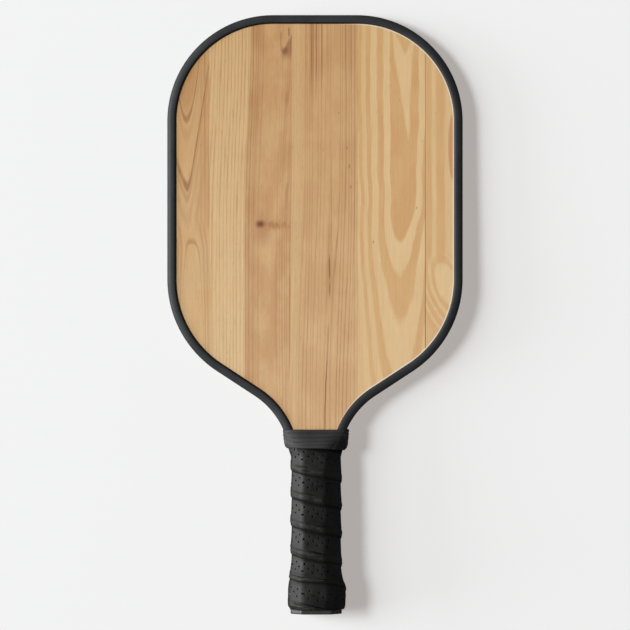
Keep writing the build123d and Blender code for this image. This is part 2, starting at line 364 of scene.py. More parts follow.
def printed_wood():
    """A picture of pine planks, drawn in the face's own plane."""
    g = Graph("printed_wood")
    x, y = g.x, g.y

    def grain(across, along, seed, **kind):
        """Noise stretched along the planks."""
        return g.noise(g.vector(x * across, y * along, seed), **kind)

    def gap_to(centre_x, centre_y, across, along):
        """Distance from a point, with each direction scaled."""
        return (((x - centre_x) * across) ** 2 + ((y - centre_y) * along) ** 2).sqrt()

    def tinted(base, share, *colour):
        """This share of a colour over the base."""
        return g.mix(share, base, ink(*colour))

    def strongest(where, *bands):
        """The highest of several bands, each as (centre, half, soft, strength)."""
        drawn = [g.band(where, *band[:3]) * band[3] for band in bands]
        return reduce(Value.most, drawn)

    drift = grain(0.012, 0.007, 3.0, detail=1.0) - 0.5
    wander = grain(0.05, 0.02, 7.0, detail=2.0) - 0.5
    shiver = grain(0.25, 0.05, 8.0, detail=2.0) - 0.5
    lean = g.ramp(y, 255.0, 400.0, 0.0, 4.2)
    fibre = grain(1.5, 0.035, 1.0, detail=4.0, rough=0.65)
    pores = grain(2.6, 0.11, 4.0, detail=3.0, rough=0.7)
    streaks = grain(0.45, 0.006, 5.0, detail=3.0, rough=0.6)
    mottle = grain(0.06, 0.03, 9.0, detail=3.0, rough=0.55)

    pale = ink(215, 184, 139)
    straw = ink(210, 176, 132)
    tan = ink(203, 163, 115)
    line_brown = ink(152, 108, 74)

    # Quarter-sawn plank, left of centre: even fine lines.
    xq = x - lean + drift * 1.6 + shiver * 0.5
    fine = (xq / 2.3 + streaks * 1.5).fract()
    fine_line = g.levels(fine, [(0.0, 1.0), (0.16, 0.25), (0.5, 0.0), (0.8, 0.2), (1.0, 1.0)])
    fine_line = fine_line * g.ramp(streaks, 0.3, 0.65, 0.35, 1.0)
    quarter = g.mix(fine_line * 0.85, ink(217, 186, 143), ink(178, 136, 93))
    quarter = g.mix(g.ramp(streaks, 0.5, 0.75, 0.0, 0.4), quarter, pale)
    quarter = g.mix(g.ramp(mottle, 0.5, 0.7, 0.0, 0.35), quarter, straw)

    # Left plank: narrow Vs that point down, and an arch below them.
    axis = x - g.ramp(y, 240.0, 270.0, -81.9, -84.9) + wander * 1.6 + shiver * 0.7
    spread = (axis * axis + 4.0).sqrt() - 2.0
    tip = y - spread * 5.0 - axis * 1.5 + wander * 8.0 + shiver * 2.0
    tongue_axis = x + 85.7 + shiver * 0.8
    tongue = y - tongue_axis * tongue_axis * 0.55 + wander * 5.0 + shiver * 3.0
    arch = (((axis * axis) * (axis * axis) - (245.8 - y) * 44.8).most(0.0)) ** 0.25
    upper = g.ramp(y, 252.0, 266.0)
    vees = strongest(
        tip, (284.5, 1.0, 4.6, 0.9), (277.0, 0.6, 3.6, 0.4),
        (262.0, 1.0, 7.0, 0.22), (236.0, 1.5, 8.0, 0.25),
    )
    vees = vees.most(strongest(tongue, (331.0, 0.8, 3.4, 0.85), (320.0, 1.0, 6.0, 0.25)))
    vees = vees * g.ramp(streaks, 0.3, 0.6, 0.6, 1.0)
    uprights = ((x + 74.8 + shiver) / 2.6 + streaks).fract()
    uprights = g.levels(uprights, [(0.0, 1.0), (0.2, 0.2), (0.5, 0.0), (0.85, 0.3), (1.0, 1.0)])
    vees = vees.most(uprights * g.ramp(x, -79.0, -74.5) * g.ramp(streaks, 0.35, 0.6, 0.15, 0.6))
    arches = strongest(arch, (3.2, 0.15, 0.8, 0.55), (7.2, 0.2, 0.9, 0.35), (9.6, 0.2, 1.0, 0.3))
    left_lines = g.math("MULTIPLY_ADD", upper, vees - arches, arches)
    inside = g.ramp(tongue, 326.0, 342.0, 0.0, 0.9) * upper
    left_base = tinted(ink(208, 174, 130), inside, 192, 149, 106)
    left_base = tinted(left_base, g.ramp(x, -84.0, -74.0) * upper * 0.7, 200, 159, 114)
    left_base = g.mix(g.ramp(mottle, 0.42, 0.7, 0.0, 0.6), left_base, tan)
    left = g.mix(left_lines * g.ramp(fibre, 0.2, 0.6, 0.5, 0.92), left_base, line_brown)

    # Pinkish plank, with a knot.
    xp = x - lean * 0.9 + drift * 2.0 + wander * 0.8 + shiver * 0.6
    group = g.levels(
        (xp + 47.0) / 32.0,
        [(0.0, 0.9), (0.022, 0.35), (0.062, 0.3), (0.078, 1.0), (0.096, 0.3), (0.165, 0.35),
         (0.181, 0.95), (0.198, 0.3), (0.25, 0.25), (0.273, 0.3), (0.287, 0.75), (0.302, 0.15),
         (0.5, 0.05), (0.6, 0.12), (0.64, 0.02), (0.78, 0.1), (0.8, 0.4), (0.82, 0.05), (0.87, 0.1),
         (0.885, 0.6), (0.9, 0.15), (0.94, 0.2), (0.955, 1.0), (0.97, 0.3), (1.0, 0.2)],
    )
    pink_base = g.mix(g.ramp(mottle, 0.35, 0.62), ink(200, 158, 115), ink(208, 172, 128))
    pink = g.mix(group * g.ramp(fibre, 0.3, 0.7, 0.35, 0.85), pink_base, ink(160, 112, 78))
    uneven = grain(0.11, 0.0014, 17.0, detail=1.0)
    threads = (xp / 2.45 + uneven * 5.0).fract()
    thread_line = g.levels(threads, [(0.0, 1.0), (0.13, 0.2), (0.4, 0.0), (0.86, 0.15), (1.0, 1.0)])
    thread_line = thread_line * g.ramp((xp + 33.5).abs(), 4.5, 9.0, 0.12, 1.0)
    thread_line = thread_line * g.ramp(fibre, 0.3, 0.6, 0.4, 1.0)
    pink = tinted(pink, thread_line * 0.5, 154, 108, 74)
    knot_gap = g.math("MULTIPLY_ADD", shiver, 1.6, gap_to(-36.6, 260.3, 0.9, 1.05))
    halo = gap_to(-35.0, 258.0, 0.17, 0.075)
    pink = tinted(pink, g.ramp(halo + wander, 0.3, 1.4, 0.7, 0.0), 178, 130, 94)
    smear = gap_to(-26.5, 259.4, 0.1, 0.27)
    blotch = grain(0.55, 0.22, 14.0, detail=3.0) - 0.5
    pink = tinted(pink, g.ramp(smear + blotch * 2.6, 0.1, 1.2, 0.65, 0.0), 166, 116, 82)
    pink = tinted(pink, g.ramp(knot_gap + blotch, 1.4, 3.8, 0.8, 0.0), 136, 92, 68)
    pink = tinted(pink, g.ramp(knot_gap, 0.6, 2.1, 0.75, 0.0), 104, 68, 54)
    ragged = grain(0.7, 0.16, 2.0, detail=3.0) - 0.5
    slant = (y - 388.3) - (x + 15.0) * 1.72 + ragged * 5.0
    wedge = g.ramp(slant, -2.2, 1.0, 1.0, 0.0) * g.ramp(y + ragged * 4.0, 367.5, 376.0)
    wedge = wedge * g.ramp(x, -24.0, -21.0)
    pink = tinted(pink, wedge * 0.62, 142, 98, 74)
    core_knot = gap_to(-20.2, 376.2, 0.5, 0.36)
    pink = tinted(pink, g.ramp(core_knot + ragged * 1.4, 0.3, 1.5, 0.6, 0.0), 120, 76, 60)
    rim_curve = x + 22.8 - ((y - 382.0) * 0.09) ** 2 + shiver
    rim_of_knot = g.band(rim_curve, 0.0, 0.15, 0.6) * g.band(y, 382.0, 5.0, 3.0)
    pink = tinted(pink, rim_of_knot * 0.5, 150, 104, 78)
    crack = g.band(x + 17.5 + shiver * 0.8, 0.0, 0.1, 0.5) * g.band(y, 388.5, 1.8, 2.0)
    pink = tinted(pink, crack * 0.7, 98, 66, 52)

    # Middle plank: a pale strip, then many fine brown lines and a resin streak.
    xm = x + drift * 1.4 + shiver * 0.5 + g.ramp(y, 130.0, 300.0, 4.2, 0.0)
    comb = (xm / 2.6 + uneven * 5.0 + streaks * 0.5).fract()
    comb_line = g.levels(comb, [(0.0, 1.0), (0.13, 0.2), (0.42, 0.0), (0.86, 0.12), (1.0, 1.0)])
    strength = g.levels(
        (xm + 16.0) / 45.0,
        [(0.0, 0.35), (0.14, 0.3), (0.2, 0.55), (0.3, 0.85), (0.42, 0.65), (0.5, 0.4),
         (0.64, 0.45), (0.72, 1.0), (0.94, 0.95), (0.97, 0.5), (1.0, 0.2)],
    )
    comb_line = comb_line * strength * g.ramp(fibre, 0.25, 0.6, 0.45, 1.0)
    comb_line = comb_line * g.ramp(y, 170.0, 330.0, 1.0, 0.75)
    middle_base = g.mix(g.ramp(xm, -11.0, -5.5), ink(209, 175, 131), ink(203, 164, 121))
    blotches = g.ramp(mottle, 0.4, 0.65, 0.0, 0.6) * g.ramp(xm, -9.0, -6.0)
    middle_base = g.mix(blotches, middle_base, straw)
    blush = g.ramp(y, 335.0, 392.0, 0.0, 0.5) * g.band(x, -0.6, 2.0, 3.5)
    middle_base = tinted(middle_base, blush * g.ramp(streaks, 0.3, 0.6, 0.3, 1.0), 178, 134, 98)
    middle = g.mix(comb_line * 0.85, middle_base, ink(150, 106, 70))
    for line_x, depth in TOP_LINES:
        red = g.band(x - line_x + shiver * 0.5, 0.0, 0.12, 0.6) * g.ramp(y, 334.0, 372.0, 0.0, depth)
        middle = tinted(middle, red * g.ramp(fibre, 0.25, 0.55, 0.5, 1.0), 156, 106, 76)
    streak_x = x - g.ramp(y, 125.0, 225.0, 6.7, 9.8) + shiver * 1.3
    streak_length = strongest(
        y, (231.0, 4.0, 6.5, 0.9), (217.0, 1.5, 5.5, 0.65),
        (180.0, 8.0, 12.0, 0.5), (145.0, 18.0, 14.0, 0.95),
    )
    streak_width = g.ramp(y, 222.0, 232.0, 0.18, 0.26)
    streak = g.ramp(streak_x.abs() - streak_width, 0.0, 0.5, 1.0, 0.0) * streak_length
    streak = streak * g.ramp(fibre, 0.3, 0.55, 0.6, 1.0)
    stain = g.band(streak_x, 0.0, 0.5, 2.6) * g.band(y, 236.0, 14.0, 22.0) * 0.35
    middle = tinted(middle, stain, 166, 118, 82)
    middle = tinted(middle, streak * 0.85, 116, 78, 48)
    thread = g.band(x - 10.9 + shiver, 0.0, 0.1, 0.5) * g.band(y, 272.0, 22.0, 16.0) * 0.4
    middle = g.mix(thread, middle, line_brown)

    # Right plank: broad soft bands, nested and pointing down.
    ripple = grain(0.03, 0.045, 6.0, detail=2.0, rough=0.6) - 0.5
    below = 268.5 - y
    fall = ((below * below + 40.0).sqrt() + below) * 0.5
    right_axis = g.ramp(y, 246.0, 278.0, 56.6, 58.6) + g.ramp(y, 275.0, 345.0, 0.0, 1.4)
    xr = x - right_axis + ripple * 2.6 + drift * 1.5 + shiver * 1.3
    xr = xr * g.ramp(y, 275.0, 345.0, 1.0, 0.89)
    rings = ((xr * xr + fall * 3.7).most(0.0)).sqrt() + wander * 1.4 + shiver * 0.6
    bands = g.levels(
        rings / 32.0,
        [(0.0, 0.05), (0.258, 0.0), (0.285, 0.95), (0.38, 0.85), (0.41, 0.02), (0.50, 0.1),
         (0.535, 0.9), (0.63, 0.8), (0.66, 0.08), (0.715, 0.12), (0.745, 0.8), (0.80, 0.7),
         (0.825, 0.15), (0.865, 0.2), (0.89, 0.8), (1.0, 0.5)],
    )
    vee_axis = x - g.ramp(y, 311.0, 370.0, 62.7, 59.4, "LINEAR") + shiver * 1.4 + ripple
    vee_half = (y - 311.0) * 0.098
    pale_vee = g.ramp(vee_axis.abs() - vee_half + wander * 2.0, -1.3, 0.7, 1.0, 0.0)
    pale_vee = pale_vee * g.ramp(y, 309.0, 322.0)
    inner_vee = g.ramp((x - 60.2).abs() - (y - 373.0) * 0.42 + wander * 1.5, -1.4, 1.0, 0.9, 0.0)
    bands = g.math("MULTIPLY_ADD", pale_vee, 0.9 - bands, bands)
    bands = bands - bands * inner_vee
    bands = bands * 1.05 + (streaks - 0.5) * 0.35 + (mottle - 0.5) * 0.25
    orange = g.mix(g.ramp(mottle, 0.4, 0.62), ink(207, 167, 118), ink(201, 158, 110))
    pale_right = ink(217, 187, 142)
    right = g.mix(bands.most(0.0).least(1.0), orange, pale_right)

    # Far right plank: a slanted set of rings under a pale oval.
    across_oval = (x - 88.5) * 0.94 + (y - 219.0) * 0.342
    along_oval = (x - 88.5) * 0.342 - (y - 219.0) * 0.94
    oval = ((across_oval / 7.4) ** 2 + (along_oval / 17.0) ** 2).sqrt() + wander * 0.5 + shiver * 0.25
    low_bands = g.levels(
        oval / 3.2,
        [(0.0, 1.0), (0.29, 0.95), (0.33, 0.15), (0.39, 0.1), (0.43, 0.85), (0.47, 0.8),
         (0.51, 0.1), (0.56, 0.1), (0.60, 0.8), (0.65, 0.2), (0.71, 0.2), (0.75, 0.8),
         (0.8, 0.2), (1.0, 0.4)],
    )
    xf = x + wander * 2.2 + drift + shiver
    high_bands = g.levels(
        (xf - 73.7) / 22.0,
        [(0.0, 0.2), (0.16, 0.15), (0.23, 0.75), (0.30, 0.75), (0.37, 0.15), (0.55, 0.1),
         (0.64, 0.7), (1.0, 0.8)],
    )
    patch = g.band(gap_to(92.3, 312.0, 0.38, 0.055), 0.5, 0.5, 0.4)
    high_bands = high_bands - high_bands * patch
    far_bands = g.math("MULTIPLY_ADD", g.ramp(y, 228.0, 244.0), high_bands - low_bands, low_bands)
    far_bands = (far_bands + (mottle - 0.5) * 0.4 + (streaks - 0.5) * 0.3).most(0.0).least(1.0)
    far = g.mix(far_bands, orange, pale_right)
    far = tinted(far, patch * 0.7 * g.ramp(y, 228.0, 244.0), 192, 143, 98)

    # The planks side by side.
    edge = g.ramp(y, 176.0, 260.0, -68.2, -71.2)
    colour = g.mix(g.ramp(x + wander * 0.8 - edge, 0.0, 0.9), left, quarter)
    colour = g.mix(g.ramp(x - lean, -47.6, -46.2), colour, pink)
    colour = g.mix(g.ramp(x + g.ramp(y, 150.0, 330.0, 1.6, 0.0), -15.9, -14.9), colour, middle)
    colour = g.mix(g.ramp(x, 27.4, 28.6), colour, right)
    colour = g.mix(g.ramp(x, 73.6, 73.8), colour, far)
    seam = g.band(x, 73.7, 0.12, 0.32) * g.ramp(y, 170.0, 330.0, 0.85, 0.45)
    red_line = g.band(x + 16.9 + shiver * 0.4, 0.0, 0.15, 0.5) * g.band(y, 196.0, 20.0, 20.0)
    colour = tinted(colour, red_line * 0.6, 168, 106, 72)
    thin_seam = strongest(x, (28.2, 0.05, 0.3, 0.3), (26.2, 0.05, 0.3, 0.35))
    colour = tinted(colour, seam.most(thin_seam), 112, 80, 56)

    # Pores, flecks and an even change of tone from the tip to the handle.
    dashes = g.ramp(pores, 0.54, 0.72, 0.0, 0.42) * g.ramp(x, 26.0, 34.0, 1.0, 0.45)
    colour = tinted(colour, dashes, 160, 116, 80)
    flecks = g.cells(g.vector(x * 0.16, y * 0.05))
    colour = g.mix(g.ramp(flecks, 0.02, 0.06, 0.4, 0.0), colour, line_brown)
    for fleck_x, fleck_y, tall in FLECKS:
        gap = (((x - fleck_x) * 2.0) ** 2 + ((y - fleck_y) / tall) ** 2).sqrt()
        colour = tinted(colour, g.ramp(gap, 0.5, 1.4, 0.4, 0.0), 92, 60, 42)
    # Painted highlight: a pale line painted on the face beside the guard's inner edge, on the right
    # side only, where the lit lip shines.
    rim = rim_gap(g)
    painted_rim_highlight = g.ramp(rim, -1.0, -0.35) * g.ramp(x, 8.0, 40.0)
    colour = tinted(colour, painted_rim_highlight * 0.8, 236, 224, 205)
    age = g.ramp(y, 170.0, 385.0, kind="LINEAR") * g.ramp(x, 20.0, 45.0, 1.0, 0.5)
    aged = g.mix(age, (1.0, 1.0, 1.0, 1.0), (0.885, 0.83, 0.735, 1.0))
    colour = g.mix(1.0, colour, aged, "MULTIPLY")
    shade = g.ramp(fibre, 0.25, 0.75, 0.925, 1.075, "LINEAR")
    shade = shade * g.ramp(mottle, 0.25, 0.75, 0.97, 1.03, "LINEAR")
    tone = g.node("VectorMath")
    tone.operation = "SCALE"
    g.put(colour, tone.inputs[0])
    g.put(shade, tone.inputs["Scale"])
    peel = g.noise(g.place, 0.35, detail=3.0)
    g.bump(fibre * 0.4 + peel, 0.25, 0.02)
    roughness = g.ramp(peel, 0.3, 0.7, 0.62, 0.72)
    return g.finish(Value(g, tone.outputs[0]), roughness, Specular_IOR_Level=0.35)


# ---- Dark and inner materials ----


def moulded(name, low, high, rough, grain=1.6, depth=0.05, creased=0.0, lip=False, **fixed):
    """A plastic or rubber with fine grain, soft colour variation and slight wear.

    Creased paints shade into the ripples painted on a mesh, and lip paints a shadow on the guard's
    inner edge, along the top and left, fading out to the right.
    """
    g = Graph(name)
    fine = g.noise(g.place, grain, detail=4.0, rough=0.65)
    broad = g.noise(g.place, 0.06, detail=3.0)
    scuffs = g.noise(g.vector(g.x * 0.9, g.y * 0.12, g.z * 0.9), 1.0, detail=3.0, rough=0.7)
    colour = g.mix(g.ramp(broad * 0.6 + fine * 0.4, 0.35, 0.65), srgb(*low), srgb(*high))
    if creased:
        # Painted shade: the creases marked on the mesh are darkened towards black.
        colour = g.mix(g.attribute("crease") * creased, colour, srgb(6, 6, 6))
    if lip:
        # Painted shadow: the guard's inner edge goes near black within 1.5 mm, along the top and left,
        # fading out to the right.
        painted_lip_shadow = g.ramp(rim_gap(g), 0.3, 1.5, 0.95, 0.0) * g.ramp(g.x, 8.0, 40.0, 1.0, 0.0)
        colour = g.mix(painted_lip_shadow, colour, srgb(4, 4, 4))
    roughness = g.ramp(scuffs * 0.5 + broad * 0.5, 0.3, 0.7, rough - 0.06, rough + 0.08)
    g.bump(fine, 0.3, depth)
    return g.finish(colour, roughness, **fixed)


def wound_grip():
    """Cushion strip: fine leather-like grain with a soft sheen, painted shade in its creases and a
    painted highlight on its raised roll.
    """
    g = Graph("wound_grip")
    pores = g.cells(g.place, 1.5)
    fine = g.noise(g.place, 2.4, detail=4.0, rough=0.6)
    broad = g.noise(g.place, 0.09, detail=3.0)
    colour = g.mix(g.ramp(broad * 0.6 + fine * 0.4, 0.35, 0.65), srgb(17, 17, 17), srgb(35, 35, 34))
    # Painted highlight: patchy lighter grey on the raised roll, from the 'roll' numbers.
    roll_highlight_patches = g.noise(g.vector(g.x * 0.35, g.y * 1.1, g.z * 0.35), 1.0, detail=3.0, rough=0.65)
    colour = g.mix(g.attribute("roll") * g.ramp(roll_highlight_patches, 0.45, 0.62, 0.05, 0.8), colour, srgb(58, 57, 55))
    # Painted shade: the creases go nearly black.
    colour = g.mix(g.attribute("crease") * 0.95, colour, srgb(3, 3, 3))
    roughness = g.ramp(broad * 0.5 + fine * 0.5, 0.35, 0.65, 0.54, 0.64) + g.attribute("crease") * 0.25
    g.bump(pores * 0.7 + fine * 0.6, 0.35, 0.08)
    return g.finish(colour, roughness, Specular_IOR_Level=0.8)


def metal_wire():
    g = Graph("staple_wire")
    draw = g.noise(g.vector(g.x * 4.0, g.y * 4.0, g.z * 0.5), 1.0, detail=3.0)
    colour = g.mix(draw, srgb(150, 150, 152), srgb(190, 190, 192))
    g.bump(draw, 0.2, 0.02)
    return g.finish(colour, g.ramp(draw, 0.3, 0.7, 0.25, 0.4), Metallic=1.0)


# ---- Edge guard ----

STEPS_PER_MM = 0.45

def half_outline():
    """Points and outward normals down the right side, from the tip's middle to the collar."""
    tip_radius = HALF_WIDTH - TIP_FLAT_HALF
    tip_centre = np.array((TIP_FLAT_HALF, LENGTH - tip_radius))
    shoulder = np.array((HALF_WIDTH - SHOULDER_RADIUS, SHOULDER_Y))
    turn = math.radians(SHOULDER_TURN)
    normal = np.array((math.cos(turn), -math.sin(turn)))
    flank = shoulder.dot(normal) + SHOULDER_RADIUS - PANEL_INSET
    neck_x = TANG_HALF + NECK_RADIUS
    neck_y = (flank + NECK_RADIUS - normal[0] * neck_x) / normal[1]
    neck = np.array((neck_x, neck_y))
    neck_radius = NECK_RADIUS - PANEL_INSET
    rise = math.asin((GUARD_END_Y - neck_y) / neck_radius)
    points, normals = [], []

    def line(a, b, n):
        count = max(2, int(np.linalg.norm(b - a) * STEPS_PER_MM))
        for t in np.linspace(0, 1, count, endpoint=False):
            points.append(a + (b - a) * t)
            normals.append(n)

    def arc(centre, radius, start, end, side):
        count = max(8, int(abs(end - start) * radius * STEPS_PER_MM * 1.6))
        for angle in np.linspace(start, end, count, endpoint=False):
            n = np.array((math.cos(angle), math.sin(angle)))
            points.append(centre + n * radius)
            normals.append(n * side)

    line(np.array((0.0, LENGTH)), np.array((TIP_FLAT_HALF, LENGTH)), np.array((0.0, 1.0)))
    arc(tip_centre, tip_radius, math.pi / 2, 0, 1)
    side_start = np.array((HALF_WIDTH, tip_centre[1]))
    line(side_start, np.array((HALF_WIDTH, SHOULDER_Y)), np.array((1.0, 0.0)))
    arc(shoulder, SHOULDER_RADIUS, 0, -turn, 1)
    start = shoulder + normal * SHOULDER_RADIUS
    end = neck - normal * neck_radius
    line(start, end, normal)
    arc(neck, neck_radius, math.pi - turn, math.pi - rise, -1)
    last = math.pi - rise
    n = np.array((math.cos(last), math.sin(last)))
    points.append(neck + n * neck_radius)
    normals.append(-n)
    return np.array(points), np.array(normals)


def guard_profile():
    """The U section as (distance inside the outer edge, height), once round."""
    crest = 4.15
    outer_height = 3.3
    inner_radius = 2.2
    edge_z = GUARD_HALF - outer_height
    upper = [(0.0, edge_z * t) for t in (0.0, 0.35, 0.7)]
    for a in np.radians(np.linspace(0, 90, 17)):
        upper.append((crest * (1 - math.cos(a)), edge_z + outer_height * math.sin(a)))
    for a in np.radians(np.linspace(6, 57, 10)):
        drop = inner_radius * (1 - math.cos(a))
        upper.append((crest + inner_radius * math.sin(a), GUARD_HALF - drop))
    upper.append((GUARD_REACH, PANEL_HALF))
    upper.append((GUARD_WEB, PANEL_HALF))
    lower = [(d, -z) for d, z in reversed(upper[1:])]
    return upper + lower


def edge_guard():
    points, normals = half_outline()
    left = points[:0:-1] * (-1, 1)
    left_normals = normals[:0:-1] * (-1, 1)
    points = np.vstack([left, points])
    normals = np.vstack([left_normals, normals])
    profile = guard_profile()
    count = len(profile)
    along = np.concatenate([[0], np.cumsum(np.linalg.norm(np.diff(points, axis=0), axis=1))])
    vertices = []
    for (px, py), (nx, ny), s in zip(points, normals, along):
        for d, z in profile:
            wave = 0.05 * noise.noise(Vector((s * 0.03, d * 0.2, z * 0.05 + 4.0)))
            top = 1.0 if z > PANEL_HALF + 0.1 or z < -PANEL_HALF - 0.1 else 0.0
            vertices.append((px - nx * d, py - ny * d, z + math.copysign(wave * top, z)))
    faces = tube_faces(len(points), count)
    faces.append(tuple(range(count)))
    faces.append(tuple((len(points) - 1) * count + k for k in reversed(range(count))))
    return grid_object("edge_guard_moulding", vertices, faces)


# ---- Butt cap ----


def butt_cap():
    """An octagonal cup: grooved end face, chamfered rim, flare and thin skirt."""
    columns = 160
    where = np.arange(columns) / columns

    def rim(step, bevel):
        return (RIM[0] - step, RIM[1] - step, RIM[2] - bevel)

    def inner(step):
        return (10.5 + step, 8.5 + step, 3.6 + step / 2)

    def grown(step):
        return (HANDLE[0] + step, HANDLE[1] + step, HANDLE[2] + 0.586 * step)

    # Stations as (height, section, corner radius), from the end face outwards and back inside.
    stations = [
        (0.0, (1.0, 0.8, 0.4), 0.3),
        (0.0, (5.0, 4.0, 1.8), 0.8),
        (0.0, inner(-0.15), 0.8),
        (0.06, inner(0.0), 0.8),
        (0.5, inner(0.1), 0.8),
        (0.5, inner(1.1), 0.9),
        (0.06, inner(1.2), 0.9),
        (0.0, inner(1.35), 0.9),
        (0.0, rim(0.65, 0.3), 0.9),
        (0.08, rim(0.35, 0.15), 1.0),
        (0.3, rim(0.1, 0.05), 1.1),
        (0.6, RIM, 1.2),
        (1.6, RIM, 1.2),
        (2.4, RIM, 1.2),
        (2.62, rim(0.06, 0.03), 1.2),
        (2.75, rim(0.25, 0.12), 1.1),
    ]
    for y, growth in CAP_FLARE:
        stations.append((y + (0.05 if y == RIM_LENGTH else 0.0), grown(growth), 1.5))
    stations += [
        (CAP_TOP, grown(0.05), 1.0),
        (CAP_FLOOR, grown(0.02), 1.0),
        (CAP_FLOOR, (5.0, 4.0, 1.8), 0.8),
        (CAP_FLOOR, (1.0, 0.8, 0.4), 0.3),
    ]
    vertices = []
    for y, sizes, radius in stations:
        px, pz, _, _ = on_ring(ring(sizes, radius), where)
        shift = HANDLE_SHIFT if y < RIM_LENGTH + 0.01 else 0.0
        vertices += [(a + shift, y, b) for a, b in zip(px, pz)]
    faces = tube_faces(len(stations), columns)
    faces.append(tuple(range(columns)))
    faces.append(tuple((len(stations) - 1) * columns + k for k in range(columns)))
    return grid_object("butt_cap_moulding", vertices, faces)


# ---- Wound grip strip ----

# Height of the perforations' middle row on the left of the front face, turn by turn from the butt.
TURN_HEIGHTS = [-4.5, 14.1, 31.4, 50.2, 69.0, 88.0, 105.9, 124.5]
STRIP_WIDTH = 24.0
STRIP_ANGLE = 0.175
HOLE_PITCH = 7.1
ROW_STEP = 2.5
ROW_MIDDLE = 12.7
HOLE_RADIUS = 0.55
STRIP_PERIMETER = 110.0
STRIP_START = 12.0
STRIP_CELLS = 200
CELL_SPLIT = 4
STRIP_TOP = 115.2
FRONT_REFERENCE = -0.085
# The strip's mean height above the handle, how high the front bulges, and the limit of the
# pressed corner on the front's right.
MEAN_HEIGHT = 1.55
CROWN = 0.75
GRIP_CORNER = 22.2

HANDLE_RING = ring(HANDLE, 1.3)
NECK_RING = ring(NECK_BED, 1.6)


def flare(y):
    """How far the cap lifts the grip at this height, softened."""
    knots = [0.0] + [k for k, _ in CAP_FLARE] + [36.0, 400.0]
    lifts = [1.6] + [f for _, f in CAP_FLARE] + [0.15, 0.15]
    return sum(np.interp(y + d, knots, lifts) for d in (-2, -1, 0, 1, 2)) / 5


def strip_outside(v):
    """The strip's outer face above the handle, across its width."""
    knots = [0.0, 0.3, 1.0, 2.0, 3.2, 4.5, 6.0, 8.0, 12.0, 16.5, 18.2, 19.3, 24.0]
    heights = [0.85, 1.35, 2.15, 2.75, 2.95, 2.8, 2.4, 1.95, 1.55, 1.25, 0.75, 0.55, 0.35]
    return sum(np.interp(v + d, knots, heights) for d in (-0.25, 0, 0.25)) / 3


def strip_inside(v):
    """Its inner face: it climbs onto the upper edge of the turn below."""
    climb = np.where(v < 4.9, strip_outside(v + 19.1) + 0.04, 0.0)
    fade = 1 - smoothstep(4.9, 7.5, v)
    return np.where(v < 4.9, climb, (strip_outside(24.0) + 0.04) * fade)


def seam_lift(turns):
    """The lowest seam runs flatter and higher than the others."""
    return np.interp(turns, [1.45, 1.7, 1.84, 2.0, 2.1, 2.25, 2.5], [0, 3.6, 4.4, 2.5, 2.3, 1.2, 0])


def covered(u, v):
    """Distance across the strip, counted so that the next turn covers it from the same value."""
    return v - seam_lift(u / STRIP_PERIMETER + 1) * smoothstep(11.0, 17.0, v)


def worn_down(x, z, limit, soft):
    """Flattens the front's right corner to a 45 degree bevel where x + z passes the limit."""
    over = z - (limit - x)
    return np.where(z > 0, z - 0.5 * (over + np.sqrt(over * over + soft * soft)), z)


def strip_place(u, v, height):
    """A point of the strip: u along it, v across it from its lower edge."""
    turns = u / STRIP_PERIMETER
    y = np.interp(turns, np.arange(len(TURN_HEIGHTS)), TURN_HEIGHTS)
    y = y + (v - ROW_MIDDLE) * math.cos(STRIP_ANGLE)
    y = y + seam_lift(turns) * (1 - smoothstep(0.0, 10.0, v))
    where = FRONT_REFERENCE - turns + (v - ROW_MIDDLE) * math.sin(STRIP_ANGLE) / STRIP_PERIMETER
    x0, z0, nx0, nz0 = on_ring(HANDLE_RING, where)
    x1, z1, nx1, nz1 = on_ring(NECK_RING, where)
    # The section changes to the neck's under the collar.
    w = np.clip((y - NECK_LOW_Y + 1.5) / (NECK_HIGH_Y - NECK_LOW_Y + 1.5), 0, 1.2)
    nx, nz = nx0 + (nx1 - nx0) * w, nz0 + (nz1 - nz0) * w
    size = np.hypot(nx, nz)
    # It bulges on the front, and is flatter at the flanks and behind, where the weight lies.
    side = np.sin(math.tau * where)
    flank = smoothstep(0.5, 0.95, np.abs(side))
    facing = np.cos(math.tau * where)
    crown = np.where(facing > 0, CROWN * np.clip(1 - np.abs(side / 0.54) ** 3.2, 0, 1), 0.0)
    pressed = 1 - 0.5 * np.clip(-facing * 2.0 - 0.7, 0, 1)
    # The lowest edge rolls in to the cap.
    rounding = 1.5 * (1 - np.sqrt(1 - np.clip((6.2 - y) / 3.4, 0, 1) ** 2 * 0.999))
    lift = flare(y) + MEAN_HEIGHT + (height - MEAN_HEIGHT) * (1 - 0.5 * flank) * pressed
    lift = lift + crown - 0.1 * flank - rounding
    # The lowest turns stand further to the right, except where they meet the cap.
    shift = HANDLE_SHIFT + (0.25 + 0.75 * np.clip(side, 0, 1)) * (1 - smoothstep(12.0, 22.0, y))
    shift = shift * (1 - (1 - np.clip(height / 1.5, 0, 1)) * (1 - smoothstep(5.0, 8.0, y)))
    px = x0 + (x1 - x0) * w + nx / size * lift + shift
    pz = z0 + (z1 - z0) * w + nz / size * lift
    return px, y, worn_down(px, pz, GRIP_CORNER + 1.3 * flare(y), 0.6)


